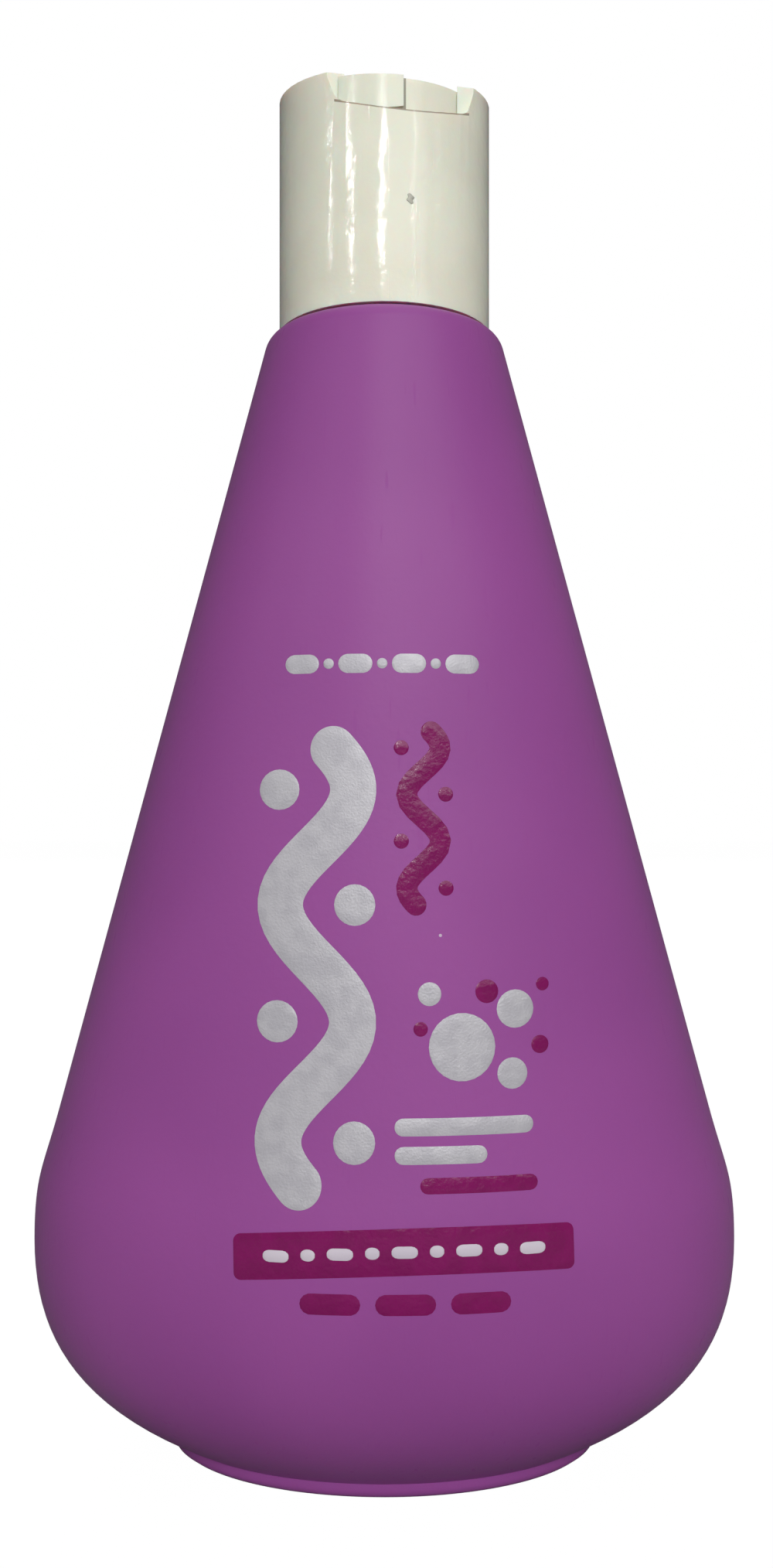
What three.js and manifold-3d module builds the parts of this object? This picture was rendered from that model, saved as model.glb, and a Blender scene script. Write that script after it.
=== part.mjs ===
// Toothpaste pump dispenser: an oval blow-moulded bottle under a twist-lock press pump.
// Millimetres, +Z up, the front faces -Y, and the origin is the centre of the bottle's foot.
// The pump is drawn pressed down and locked, as it leaves the shop.

import * as THREE from 'three';
import { mergeVertices } from 'three/addons/utils/BufferGeometryUtils.js';
import Module from 'manifold-3d';

const wasm = await Module();
wasm.setup();

const degree = Math.PI / 180;

// Fits between pieces
const seatGap = 0.2; // two faces that rest on each other
const runningGap = 0.3; // two faces that slide past each other
const plugGap = 0.2; // a pressed-in piece and its socket, on the radius

// Bottle
const bottleWidth = 88;
const bottleDepth = 55;
const bottleWall = 1.1;
const bellyHeight = 26.4;
const foot = { width: 53.2, height: 1.9, ring: 3.4 };
const footEdge = { width: 1.2, height: 0.9 };
const basePushUp = 2.2;
const pushUpStep = 1; // slope between the foot's ring and the raised base
const underside = { rise: 24.6 * degree, reach: 13.6, bellyReach: 11.7 };
const flank = { inset: 3.1, rise: 16.2, reach: 7.9 }; // where the straight flank starts, from the belly
const shoulderHeight = 139.5;
const shoulderRound = 2.7;
const shoulderTuck = 0.8; // how far the round reaches in under the collar
const roundingEase = 0.25; // share of the flank over which the oval starts to turn round

// Screw collar, neck and seal
const collarRadius = 13.3;
const collarWall = 1.3;
const collarSkirt = 1.9;
const threadGap = 0.3;
const neckWall = 1.4;
const neckHeight = 9.5;
const gasketThickness = 0.8;
const deckThickness = 1.3;
const deckLap = 0.6; // how far the deck's hole reaches in over the stem guide
const collarTurn = 12 * degree; // where the thread comes home
const rimSlope = 6.7 * degree;

// Window in the front of the collar
const windowHeight = 4.8; // from the sill to the rim's lowest point
const windowFlat = 9.75; // distance of the window's flat from the axis
const sillRadius = 21;
const windowLowHalf = 8.1;
const windowFlare = 0.3; // sideways for each millimetre of height
const windowCorner = 1.1;

// Press head, with the nozzle in its front
const stroke = 8;
const nozzleTurn = -20 * degree; // where the nozzle is locked, from the middle of the window
const skirtGap = 0.5; // between the skirt and the collar's deck when the head is down
const skirtLap = 1; // how far the raised skirt still reaches below the sill
const headWall = 1.1;
const headSink = 0.5; // the head's top below the collar's rim
const headDeck = 1.1;
const floorDrop = 0.2; // the underside of the head's deck below the sill
const bossWall = 1.2;
const bossGap = 1.1; // between the head's boss and the stem guide when the head is down
const channel = { width: 4, height: 1.9 };
const padThickness = 1.4;
const padRim = 1.2; // the head's rim around the pad
const padDish = { depth: 0.5, radius: 60 }; // hollow for the fingertip
const flapThickness = 0.8;
const flapHalfSpan = 18.4 * degree;

// Pump
const flangeThickness = 1.2;
const housingClearance = 0.4; // the pump's head in the bottle's neck
const housingHead = { wall: 1.3, depth: 7.7 };
const housingBore = 6;
const housingWall = 1.2;
const inletRadius = 1.5;
const inletThroat = 1;
const socket = { depth: 7.5, wall: 1.3 };
const guide = { floor: 2.3, rim: 1, bossRise: 0.3 };
const sealThickness = 1.5;
const stemRadius = 3;
const stemWall = 1.2;
const stemEngagement = 1.4; // how far the stem reaches into the head's deck
const stemStop = 0.9; // width and height of the stop over the piston
const port = { radius: 1.1, rise: 5.6 };
const tip = { height: 1.8, cone: 1, lap: 0.7, plug: 4, clearance: 1.2 };
const piston = { height: 9, lag: 1.2, relief: 1, reliefHeight: 7, waist: 4.9, lip: 1.6, gap: 0.15 };
const pistonClearance = 3.7; // over the piston when the head is up
const ballRadius = 2.5;
const ballLift = 1.5;
const cage = { wall: 1.3, barHeight: 1.1, barWidth: 1.2 };
const dipTube = { radius: 2.7, bore: 1.9, foot: 8 };
const spring = { wire: 0.9, turns: 7.5 };

// Contents
const fillHeight = 90;

// Facets
const bottleSides = 48;
const headSides = 56;
const innerSides = 28;
const outsideSteps = 7;
const insideSteps = 4;
const dishSides = 48;

// Radii that follow from the sizes above
const shoulderCentre = collarRadius - shoulderTuck;
const collarBore = collarRadius - collarWall;
const headRadius = collarBore - runningGap;
const neckRadius = collarRadius - collarSkirt - threadGap;
const neckBore = neckRadius - neckWall;
const housingHeadRadius = neckBore - housingClearance;
const housingHeadBore = housingHeadRadius - housingHead.wall;
const guideRadius = housingHeadBore - plugGap;
const stemBore = stemRadius - stemWall;
const headBossRadius = stemRadius + plugGap + bossWall;
const guideBossRadius = stemRadius + runningGap + bossWall;
const springRadius = (guideBossRadius + guideRadius - guide.rim) / 2;
const pistonBore = stemRadius + plugGap;
const pistonRelief = stemRadius + piston.relief;
const tipRadius = pistonRelief + tip.lap;

// Heights that follow from the sizes above, from the neck up
const rimHeight = shoulderHeight + neckHeight;
const gasketFoot = rimHeight + seatGap;
const flangeFoot = gasketFoot + gasketThickness + seatGap;
const flangeTop = flangeFoot + flangeThickness;
const deckFoot = flangeTop + seatGap;
const deckTop = deckFoot + deckThickness;
const skirtFoot = deckTop + skirtGap;
const sillHeight = skirtFoot + stroke + skirtLap;
const headFloor = sillHeight - floorDrop;
const channelFloor = headFloor + headDeck;
const channelTop = channelFloor + channel.height;
const rimFront = sillHeight + windowHeight;
const guideBossTop = deckTop + guide.bossRise;

// The same, from the neck down
const guideSeat = flangeTop - housingHead.depth;
const guideFoot = guideSeat + seatGap;
const sealTop = guideSeat - seatGap / 2;
const sealFoot = sealTop - sealThickness;
const stemFoot = sealFoot - pistonClearance - stroke - piston.lag - piston.height;
const stopHeight = stemFoot + piston.height + piston.lag + seatGap;
const tipFoot = stemFoot - seatGap - tip.height;
const ballOverCone = (ballRadius + seatGap) * Math.SQRT2 - housingBore; // centre over the cone's top
const cageHeight = ballOverCone + ballRadius + ballLift + runningGap + cage.barHeight - seatGap;
const coneTop = tipFoot - tip.clearance - cageHeight - seatGap;
const coneFoot = coneTop - (housingBore - inletRadius);
const socketTop = coneFoot - inletThroat;
const socketFoot = socketTop - socket.depth;

// Shapes are kept as bare triangles, so that the same point is one vertex

function bare(geometry) {
  const plain = geometry.clone();
  plain.deleteAttribute('normal');
  plain.deleteAttribute('uv');
  return mergeVertices(plain, 1e-4);
}

function toSolid(geometry) {
  const plain = bare(geometry);
  const index = plain.index.array;
  const triangles = [];
  for (let i = 0; i < index.length; i += 3) {
    const [a, b, c] = [index[i], index[i + 1], index[i + 2]];
    if (a !== b && b !== c && c !== a) triangles.push(a, b, c);
  }
  const vertProperties = new Float32Array(plain.attributes.position.array);
  const triVerts = new Uint32Array(triangles);
  return new wasm.Manifold(new wasm.Mesh({ numProp: 3, vertProperties, triVerts }));
}

function toGeometry(solid) {
  const mesh = solid.getMesh();
  const geometry = new THREE.BufferGeometry();
  geometry.setAttribute('position', new THREE.BufferAttribute(mesh.vertProperties, 3));
  geometry.setIndex(new THREE.BufferAttribute(mesh.triVerts, 1));
  return geometry;
}

// A profile of [radius, height] pairs turned about Z, up the outside and down the inside
function turned(profile, sides) {
  const points = profile.map(([radius, height]) => new THREE.Vector2(radius, height));
  return new THREE.LatheGeometry(points, sides).rotateX(Math.PI / 2);
}

function tube(outer, inner, foot, top, sides) {
  const profile = [[inner, foot], [outer, foot], [outer, top], [inner, top], [inner, foot]];
  return turned(profile, sides);
}

function rod(radius, foot, top, sides) {
  return turned([[0, foot], [radius, foot], [radius, top], [0, top]], sides);
}

// A box given by its size, its centre across and its foot
function block(width, depth, height, y, foot) {
  return new THREE.BoxGeometry(width, depth, height).translate(0, y, foot + height / 2);
}

// An outline in X and Z, pushed towards the front from a given distance off the axis
function pushedForward(shape, from, depth) {
  const geometry = new THREE.ExtrudeGeometry(shape, { depth, bevelEnabled: false });
  return geometry.rotateX(Math.PI / 2).translate(0, -from, 0);
}

// Height at which the plane of the collar's sloping rim crosses the axis
function rimOnAxis() {
  return rimFront + collarRadius * Math.tan(rimSlope);
}

// Everything above that plane, moved down by the given distance
function aboveRim(drop) {
  const size = 4 * collarRadius;
  return block(size, size, size, 0, 0).rotateX(rimSlope).translate(0, 0, rimOnAxis() - drop);
}

// Bottle

// Where a line from a point touches a circle on its outer side
function tangentPoint(point, centre, radius) {
  const reach = point.clone().sub(centre);
  const turn = Math.acos(radius / reach.length());
  const angle = reach.angle() + turn;
  return new THREE.Vector2(Math.cos(angle), Math.sin(angle)).multiplyScalar(radius).add(centre);
}

// The half outline of the body from foot to neck, moved inwards by the given inset
function bodyCurve(inset, divisions) {
  const heel = new THREE.Vector2(foot.width / 2 - inset * 0.5, foot.height + inset * 1.3);
  const belly = new THREE.Vector2(bottleWidth / 2 - inset, bellyHeight);
  const start = belly.clone().add(new THREE.Vector2(-flank.inset, flank.rise));
  const centre = new THREE.Vector2(shoulderCentre, shoulderHeight - shoulderRound);
  const round = shoulderRound - inset;
  const end = tangentPoint(start, centre, round);
  const pull = end.clone().sub(start).setLength(flank.reach);
  const lift = new THREE.Vector2(Math.cos(underside.rise), Math.sin(underside.rise));
  lift.multiplyScalar(underside.reach).add(heel);
  const curve = new THREE.Path();
  curve.moveTo(heel.x, heel.y);
  curve.bezierCurveTo(lift.x, lift.y, belly.x, belly.y - underside.bellyReach, belly.x, belly.y);
  curve.bezierCurveTo(
    belly.x, belly.y + flank.reach, start.x - pull.x, start.y - pull.y, start.x, start.y);
  const steps = Math.ceil(divisions * 0.75);
  for (let i = 1; i <= steps; i += 1) {
    const point = start.clone().lerp(end, i / steps);
    curve.lineTo(point.x, point.y);
  }
  curve.absarc(centre.x, centre.y, round, end.sub(centre).angle(), Math.PI / 2, false);
  return curve.getPoints(divisions).map((point) => [point.x, point.y]);
}

// Depth for each millimetre of width: oval at the belly, and round at the shoulder
function depthRatio(height) {
  const belly = bottleWidth / 2;
  const top = shoulderCentre + shoulderRound;
  const share = THREE.MathUtils.clamp((height - bellyHeight) / (shoulderHeight - bellyHeight), 0, 1);
  const eased = share < roundingEase ? share ** 2 / (2 * roundingEase) : share - roundingEase / 2;
  const blend = eased / (1 - roundingEase / 2);
  const width = THREE.MathUtils.lerp(belly, top, blend);
  const depth = THREE.MathUtils.lerp(bottleDepth / 2, top, blend);
  return depth / width;
}

// A turned profile pressed oval: each point follows the oval, and keeps its own inset from it
function ovalTurned(profile, insets, sides) {
  const geometry = turned(profile, sides);
  const position = geometry.attributes.position;
  for (let i = 0; i < position.count; i += 1) {
    const inset = insets[i % profile.length];
    const radius = Math.hypot(position.getX(i), position.getY(i));
    if (radius < 1e-6) continue;
    const depth = (radius + inset) * depthRatio(position.getZ(i)) - inset;
    position.setY(i, position.getY(i) * depth / radius);
  }
  return geometry;
}

function bottleGeometry() {
  const heel = foot.width / 2;
  const ring = heel - footEdge.width;
  const ringInside = ring - foot.ring;
  const outside = [
    [0, basePushUp], [ringInside - pushUpStep, basePushUp], [ringInside, 0],
    [ring, 0], [heel, footEdge.height],
    ...bodyCurve(0, outsideSteps),
    [neckRadius, shoulderHeight], [neckRadius, rimHeight],
  ];
  const inside = [
    [neckBore, rimHeight],
    [neckBore, shoulderHeight - bottleWall],
    ...bodyCurve(bottleWall, insideSteps).reverse(),
    [0, basePushUp + bottleWall],
  ];
  const insets = [...outside.map(() => 0), ...inside.map(() => bottleWall)];
  return ovalTurned([...outside, ...inside], insets, bottleSides);
}

// The paste stands up to its own height, around the dip tube and whatever of the pump dips in
function fillGeometry() {
  const inset = bottleWall + runningGap;
  const curve = bodyCurve(inset, insideSteps);
  const body = curve.filter(([, height]) => height < fillHeight);
  const below = body[body.length - 1];
  const above = curve[body.length];
  const share = (fillHeight - below[1]) / (above[1] - below[1]);
  const brim = [THREE.MathUtils.lerp(below[0], above[0], share), fillHeight];
  const outside = [[0, body[0][1]], ...body, brim, [0, fillHeight]];
  const insets = outside.map(() => inset);
  const straw = rod(dipTube.radius + runningGap, 0, rimHeight, innerSides);
  const wide = dipTube.radius + plugGap + socket.wall + runningGap;
  const pump = rod(wide, socketFoot - runningGap, rimHeight, innerSides);
  const paste = toSolid(ovalTurned(outside, insets, innerSides));
  return toGeometry(paste.subtract(toSolid(straw)).subtract(toSolid(pump)));
}

// Collar

// The window's outline across the front, made smaller all round by the given inset
function windowShape(inset) {
  const low = windowLowHalf - inset;
  const sill = (x) => sillHeight + inset + x ** 2 / (2 * sillRadius);
  const top = rimFront + collarRadius;
  const flare = (height) => low + (height - sill(low)) * windowFlare;
  const shape = new THREE.Shape();
  shape.moveTo(flare(top), top);
  shape.lineTo(-flare(top), top);
  shape.lineTo(-flare(sill(low) + windowCorner), sill(low) + windowCorner);
  shape.quadraticCurveTo(-low, sill(low), -low + windowCorner, sill(low - windowCorner));
  const steps = 8;
  for (let i = 1; i <= steps; i += 1) {
    const x = (low - windowCorner) * (2 * i / steps - 1);
    shape.lineTo(x, sill(x));
  }
  shape.quadraticCurveTo(low, sill(low), flare(sill(low) + windowCorner), sill(low) + windowCorner);
  return shape;
}

function windowSpace(inset) {
  return toSolid(pushedForward(windowShape(inset), windowFlat + inset, collarRadius));
}

function collarGeometry() {
  const skirtBore = neckRadius + threadGap;
  const foot = shoulderHeight + seatGap;
  const hole = guideRadius - deckLap;
  const top = rimFront + collarRadius;
  const profile = [
    [skirtBore, foot], [collarRadius, foot], [collarRadius, top], [collarBore, top],
    [collarBore, deckTop], [hole, deckTop], [hole, deckFoot], [skirtBore, deckFoot],
    [skirtBore, foot],
  ];
  const blank = toSolid(turned(profile, headSides));
  return toGeometry(blank.subtract(toSolid(aboveRim(0))).subtract(windowSpace(0)));
}

// Press head

function headGeometry() {
  const bore = headRadius - headWall;
  const stemSocket = stemRadius + plugGap;
  const socketEnd = headFloor + stemEngagement + seatGap;
  const bossFoot = guideBossTop + bossGap;
  const top = rimFront + collarRadius;
  const profile = [
    [stemSocket, bossFoot], [headBossRadius, bossFoot], [headBossRadius, headFloor],
    [bore, headFloor], [bore, skirtFoot], [headRadius, skirtFoot], [headRadius, top], [0, top],
    [0, channelTop], [stemBore, channelTop], [stemBore, socketEnd], [stemSocket, socketEnd],
    [stemSocket, bossFoot],
  ];
  const blank = toSolid(turned(profile, headSides)).subtract(toSolid(aboveRim(headSink)));
  const pocket = toSolid(rod(headRadius - padRim, headFloor, top, headSides))
    .intersect(toSolid(aboveRim(headSink + padThickness + seatGap)));
  const groove = block(channel.width, 2 * headRadius, channel.height, -headRadius, channelFloor)
    .rotateZ(nozzleTurn);
  const well = rod(stemBore, channelFloor, top, innerSides);
  return toGeometry(blank.subtract(pocket).subtract(toSolid(groove)).subtract(toSolid(well)));
}

// The pad closes the channel from above, and is dished for a fingertip
function padGeometry() {
  const radius = headRadius - padRim - plugGap;
  const plug = toSolid(rod(radius, headFloor, rimFront + collarRadius, headSides));
  const slab = plug.subtract(toSolid(aboveRim(headSink)))
    .intersect(toSolid(aboveRim(headSink + padThickness)));
  const dish = new THREE.SphereGeometry(padDish.radius, dishSides, dishSides)
    .rotateX(Math.PI / 2)
    .translate(0, 0, padDish.radius - padDish.depth)
    .rotateX(rimSlope)
    .translate(0, 0, rimOnAxis() - headSink);
  return toGeometry(slab.subtract(toSolid(dish)));
}

// The flap over the nozzle's mouth clears the window at every angle from locked to open
function flapGeometry() {
  const inner = headRadius + seatGap;
  const outer = inner + flapThickness;
  const reach = 2 * outer;
  const wedge = new THREE.Shape();
  wedge.moveTo(0, 0);
  wedge.lineTo(-reach * Math.tan(flapHalfSpan), -reach);
  wedge.lineTo(reach * Math.tan(flapHalfSpan), -reach);
  const sector = new THREE.ExtrudeGeometry(wedge, { depth: collarRadius, bevelEnabled: false })
    .translate(0, 0, sillHeight)
    .rotateZ(nozzleTurn);
  const ring = tube(outer, inner, sillHeight, sillHeight + collarRadius, 2 * headSides);
  let flap = toSolid(ring).intersect(toSolid(sector));
  const steps = 4;
  for (let i = 0; i <= steps; i += 1) {
    const turn = nozzleTurn * i / steps;
    flap = flap.intersect(windowSpace(runningGap).rotate([0, 0, turn / degree]));
  }
  return toGeometry(flap.subtract(toSolid(aboveRim(headSink))));
}

// Pump

function housingGeometry() {
  const outer = housingBore + housingWall;
  const socketBore = dipTube.radius + plugGap;
  const socketRadius = socketBore + socket.wall;
  const profile = [
    [socketBore, socketFoot], [socketRadius, socketFoot], [socketRadius, coneFoot],
    [outer, coneTop], [outer, guideSeat - housingWall], [housingHeadRadius, guideSeat],
    [housingHeadRadius, flangeFoot], [neckRadius, flangeFoot], [neckRadius, flangeTop],
    [housingHeadBore, flangeTop], [housingHeadBore, guideSeat], [housingBore, guideSeat],
    [housingBore, coneTop], [inletRadius, coneFoot], [inletRadius, socketTop],
    [socketBore, socketTop], [socketBore, socketFoot],
  ];
  return turned(profile, innerSides);
}

function guideGeometry() {
  const stemHole = stemRadius + runningGap;
  const trough = guideFoot + guide.floor;
  const rim = guideRadius - guide.rim;
  const profile = [
    [stemHole, guideFoot], [guideRadius, guideFoot], [guideRadius, flangeTop], [rim, flangeTop],
    [rim, trough], [guideBossRadius, trough], [guideBossRadius, guideBossTop],
    [stemHole, guideBossTop], [stemHole, guideFoot],
  ];
  return turned(profile, innerSides);
}

function sealGeometry() {
  return tube(housingBore - plugGap, stemRadius + plugGap, sealFoot, sealTop, innerSides);
}

// A ring with a cross over it, which keeps the ball near its seat
function cageGeometry() {
  const outer = housingBore - plugGap;
  const bore = housingBore - cage.wall;
  const foot = coneTop + seatGap;
  const ring = toSolid(tube(outer, bore, foot, foot + cageHeight, innerSides));
  const bar = block(bore + outer, cage.barWidth, cage.barHeight, 0, foot + cageHeight - cage.barHeight);
  const cross = bar.clone().rotateZ(Math.PI / 2);
  return toGeometry(ring.add(toSolid(bar)).add(toSolid(cross)));
}

function ballGeometry() {
  const ball = new THREE.SphereGeometry(ballRadius, 20, 14).rotateX(Math.PI / 2);
  return ball.translate(0, 0, coneTop + ballOverCone);
}

function strawGeometry() {
  return tube(dipTube.radius, dipTube.bore, dipTube.foot, socketTop - seatGap, innerSides);
}

function stemGeometry() {
  const top = headFloor + stemEngagement;
  const stop = stemRadius + stemStop;
  const profile = [
    [stemBore, stemFoot], [stemRadius, stemFoot], [stemRadius, stopHeight], [stop, stopHeight],
    [stop, stopHeight + stemStop], [stemRadius, stopHeight + 2 * stemStop],
    [stemRadius, top], [stemBore, top], [stemBore, stemFoot],
  ];
  const ports = new THREE.CylinderGeometry(port.radius, port.radius, 3 * stemRadius, innerSides / 2)
    .translate(0, 0, stemFoot + port.rise);
  return toGeometry(toSolid(turned(profile, innerSides)).subtract(toSolid(ports)));
}

// The plug under the stem, whose cone closes the piston's foot
function tipGeometry() {
  const plug = stemBore - plugGap;
  const seat = stemFoot - seatGap;
  const profile = [
    [0, tipFoot], [tipRadius - tip.cone, tipFoot], [tipRadius, seat - tip.cone],
    [tipRadius - tip.cone, seat], [plug, seat], [plug, seat + tip.plug], [0, seat + tip.plug],
  ];
  return turned(profile, innerSides);
}

function pistonGeometry() {
  const lip = housingBore - piston.gap;
  const top = stemFoot + piston.height;
  const reliefTop = stemFoot + piston.reliefHeight;
  const profile = [
    [pistonRelief, stemFoot], [lip, stemFoot], [lip, stemFoot + piston.lip],
    [piston.waist, stemFoot + 2 * piston.lip], [piston.waist, top - 2 * piston.lip],
    [lip, top - piston.lip], [lip, top], [pistonBore, top], [pistonBore, reliefTop],
    [pistonRelief, reliefTop], [pistonRelief, stemFoot],
  ];
  return turned(profile, innerSides);
}

class SpringCurve extends THREE.Curve {
  getPoint(t, target = new THREE.Vector3()) {
    const angle = t * spring.turns * 2 * Math.PI;
    const half = spring.wire / 2;
    const low = guideFoot + guide.floor + seatGap + half;
    const height = THREE.MathUtils.lerp(low, headFloor - seatGap - half, t);
    return target.set(springRadius * Math.cos(angle), springRadius * Math.sin(angle), height);
  }
}

function springGeometry() {
  const wire = new THREE.Shape();
  wire.absarc(0, 0, spring.wire / 2, 0, 2 * Math.PI, false);
  const extrudePath = new SpringCurve();
  const steps = spring.turns * 14;
  return new THREE.ExtrudeGeometry(wire, { steps, curveSegments: 3, extrudePath, bevelEnabled: false });
}

// Assembly

const part = new THREE.Group();

function place(parent, name, geometry, color, roughness, metalness = 0) {
  const material = new THREE.MeshStandardMaterial({ color, roughness, metalness });
  const mesh = new THREE.Mesh(geometry, material);
  mesh.name = name;
  parent.add(mesh);
}

const white = 0xe3e0d2;
const clear = 0xe8ecee;

place(part, 'bottle', bottleGeometry(), 0x9b5f9c, 0.42);
place(part, 'toothpaste_fill', fillGeometry(), 0xf0f4f2, 0.6);

const pump = new THREE.Group();
part.add(pump);
const gasket = tube(neckRadius, neckBore, gasketFoot, gasketFoot + gasketThickness, innerSides);
place(pump, 'neck_gasket', gasket, 0xf3f3f0, 0.8);
place(pump, 'pump_housing', housingGeometry(), clear, 0.35);
place(pump, 'stem_guide', guideGeometry(), white, 0.4);
place(pump, 'stem_seal', sealGeometry(), 0xd8d8d4, 0.7);
place(pump, 'ball_cage', cageGeometry(), clear, 0.4);
place(pump, 'inlet_ball', ballGeometry(), 0xc8ccd0, 0.2, 1);
place(pump, 'dip_tube', strawGeometry(), clear, 0.35);
place(pump, 'pump_stem', stemGeometry(), white, 0.4);
place(pump, 'stem_tip', tipGeometry(), white, 0.4);
place(pump, 'pump_piston', pistonGeometry(), 0xdfe3e6, 0.5);
place(pump, 'return_spring', springGeometry(), 0xb8bcc0, 0.3, 1);

// The collar comes home a little past the front, and turns the head and its nozzle with it
const collar = new THREE.Group();
collar.rotation.z = collarTurn;
part.add(collar);
place(collar, 'screw_collar', collarGeometry(), white, 0.3);

place(collar, 'press_head', headGeometry(), white, 0.3);
place(collar, 'press_pad', padGeometry(), white, 0.3);
place(collar, 'mouth_flap', flapGeometry(), white, 0.45);

export default part;
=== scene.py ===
"""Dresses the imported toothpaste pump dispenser: its bottle, print, white head and finishes."""

import logging
import math
from dataclasses import dataclass
from enum import Enum

import bmesh
import bpy
from mathutils import Matrix, Vector
from mathutils.geometry import interpolate_bezier


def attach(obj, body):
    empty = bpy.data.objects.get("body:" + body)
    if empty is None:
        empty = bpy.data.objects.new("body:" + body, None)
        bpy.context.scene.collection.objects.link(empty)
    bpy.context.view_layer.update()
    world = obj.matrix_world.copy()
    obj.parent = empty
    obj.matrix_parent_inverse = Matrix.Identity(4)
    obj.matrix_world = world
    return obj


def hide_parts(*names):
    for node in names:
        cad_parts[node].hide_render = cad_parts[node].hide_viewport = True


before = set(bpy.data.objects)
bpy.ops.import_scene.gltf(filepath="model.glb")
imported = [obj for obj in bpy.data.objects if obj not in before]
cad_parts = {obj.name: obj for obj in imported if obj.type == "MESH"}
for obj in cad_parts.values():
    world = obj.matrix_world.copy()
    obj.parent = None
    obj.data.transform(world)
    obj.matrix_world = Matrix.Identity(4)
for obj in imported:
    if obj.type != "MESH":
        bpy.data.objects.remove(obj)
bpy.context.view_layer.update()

Colour = tuple[float, float, float]
Triple = tuple[float, float, float]
Pair = tuple[float, float]

MM = 0.001
# Vertices nearer than this are one: in the script's millimetres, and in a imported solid's metres.
SAME_POINT_MM = 1e-4
SAME_POINT_M = 2e-6
# An edge that folds by more than the first is sharp, and by less than the second is none.
SHARP_FOLD = math.radians(35)
FLAT_FOLD = math.radians(0.5)

log = logging.getLogger("toothpaste_pump")


class Ink(Enum):
    """The three printing inks on the bottle, by their finishes."""

    SILVER = "silver_print"
    MAGENTA = "magenta_print"
    PALE = "pale_print"


# Node trees


class Nodes:
    """A short hand for filling one node tree."""

    def __init__(self, tree: bpy.types.NodeTree) -> None:
        """Starts on a tree.

        Args:
            tree: the material's or the group's node tree.
        """
        self.tree = tree

    def add(self, kind: str, **settings: object) -> bpy.types.Node:
        """Adds a node.

        Args:
            kind: the node's type name.
            settings: properties of the node to set.

        Returns:
            The new node.
        """
        node = self.tree.nodes.new(kind)
        for name, value in settings.items():
            setattr(node, name, value)
        return node

    def link(self, source: bpy.types.NodeSocket, target: bpy.types.NodeSocket) -> None:
        """Joins an output to an input."""
        self.tree.links.new(source, target)

    def math(self, operation: str, first: object, second: object = 0.0) -> bpy.types.NodeSocket:
        """Adds a Math node.

        Args:
            operation: the node's operation.
            first: a socket or a number.
            second: a socket or a number.

        Returns:
            The node's output.
        """
        node = self.add("ShaderNodeMath", operation=operation)
        for socket, value in zip(node.inputs, (first, second)):
            if isinstance(value, bpy.types.NodeSocket):
                self.link(value, socket)
            else:
                socket.default_value = value
        return node.outputs[0]

    def ramp(self, source: bpy.types.NodeSocket, limits: Pair) -> bpy.types.NodeSocket:
        """Maps a value smoothly from its limits onto 0 to 1.

        Args:
            source: the value.
            limits: the value that gives 0 and the value that gives 1.

        Returns:
            The mapped value.
        """
        node = self.add("ShaderNodeMapRange", interpolation_type="SMOOTHSTEP")
        node.inputs["From Min"].default_value, node.inputs["From Max"].default_value = limits
        self.link(source, node.inputs["Value"])
        return node.outputs["Result"]

    def noise(self, vector: bpy.types.NodeSocket, scale: bpy.types.NodeSocket,
              detail: float) -> bpy.types.NodeSocket:
        """Adds a noise texture.

        Args:
            vector: where the noise is read.
            scale: its cells in each metre.
            detail: its octaves.

        Returns:
            The noise from 0 to 1.
        """
        node = self.add("ShaderNodeTexNoise")
        node.inputs["Detail"].default_value = detail
        self.link(vector, node.inputs["Vector"])
        self.link(scale, node.inputs["Scale"])
        return node.outputs["Fac"]

    def place(self, stretch: Triple = (1.0, 1.0, 1.0),
              turn: Triple = (0.0, 0.0, 0.0)) -> bpy.types.NodeSocket:
        """Gives the object's own coordinates, stretched and turned.

        Args:
            stretch: the scale along each axis.
            turn: the rotation about each axis, in radians.

        Returns:
            The coordinates.
        """
        source = self.add("ShaderNodeTexCoord")
        mapping = self.add("ShaderNodeMapping")
        mapping.inputs["Scale"].default_value = stretch
        mapping.inputs["Rotation"].default_value = turn
        self.link(source.outputs["Object"], mapping.inputs["Vector"])
        return mapping.outputs["Vector"]

    def blend_colours(self, factor: bpy.types.NodeSocket, first: bpy.types.NodeSocket | Colour,
                      second: Colour) -> bpy.types.NodeSocket:
        """Mixes a colour into another.

        Args:
            factor: 0 for the first colour and 1 for the second.
            first: a socket or a colour.
            second: a colour.

        Returns:
            The mixed colour.
        """
        mix = self.add("ShaderNodeMix", data_type="RGBA")
        if isinstance(first, bpy.types.NodeSocket):
            self.link(first, mix.inputs["A"])
        else:
            mix.inputs["A"].default_value = (*first, 1.0)
        mix.inputs["B"].default_value = (*second, 1.0)
        self.link(factor, mix.inputs["Factor"])
        return mix.outputs["Result"]


def new_group(name: str, inputs: dict[str, float],
              outputs: tuple[str, ...]) -> tuple[Nodes, dict, dict]:
    """Makes an empty shader node group.

    Args:
        name: the group's name.
        inputs: its number inputs and their defaults.
        outputs: the names of its number outputs.

    Returns:
        The tree's helper, its input sockets and its output sockets, by name.
    """
    tree = bpy.data.node_groups.new(name, "ShaderNodeTree")
    for title, value in inputs.items():
        socket = tree.interface.new_socket(title, in_out="INPUT", socket_type="NodeSocketFloat")
        socket.default_value = value
    for title in outputs:
        tree.interface.new_socket(title, in_out="OUTPUT", socket_type="NodeSocketFloat")
    nodes = Nodes(tree)
    start = nodes.add("NodeGroupInput")
    end = nodes.add("NodeGroupOutput")
    given = {title: start.outputs[title] for title in inputs}
    wanted = {title: end.inputs[title] for title in outputs}
    return nodes, given, wanted


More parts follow.
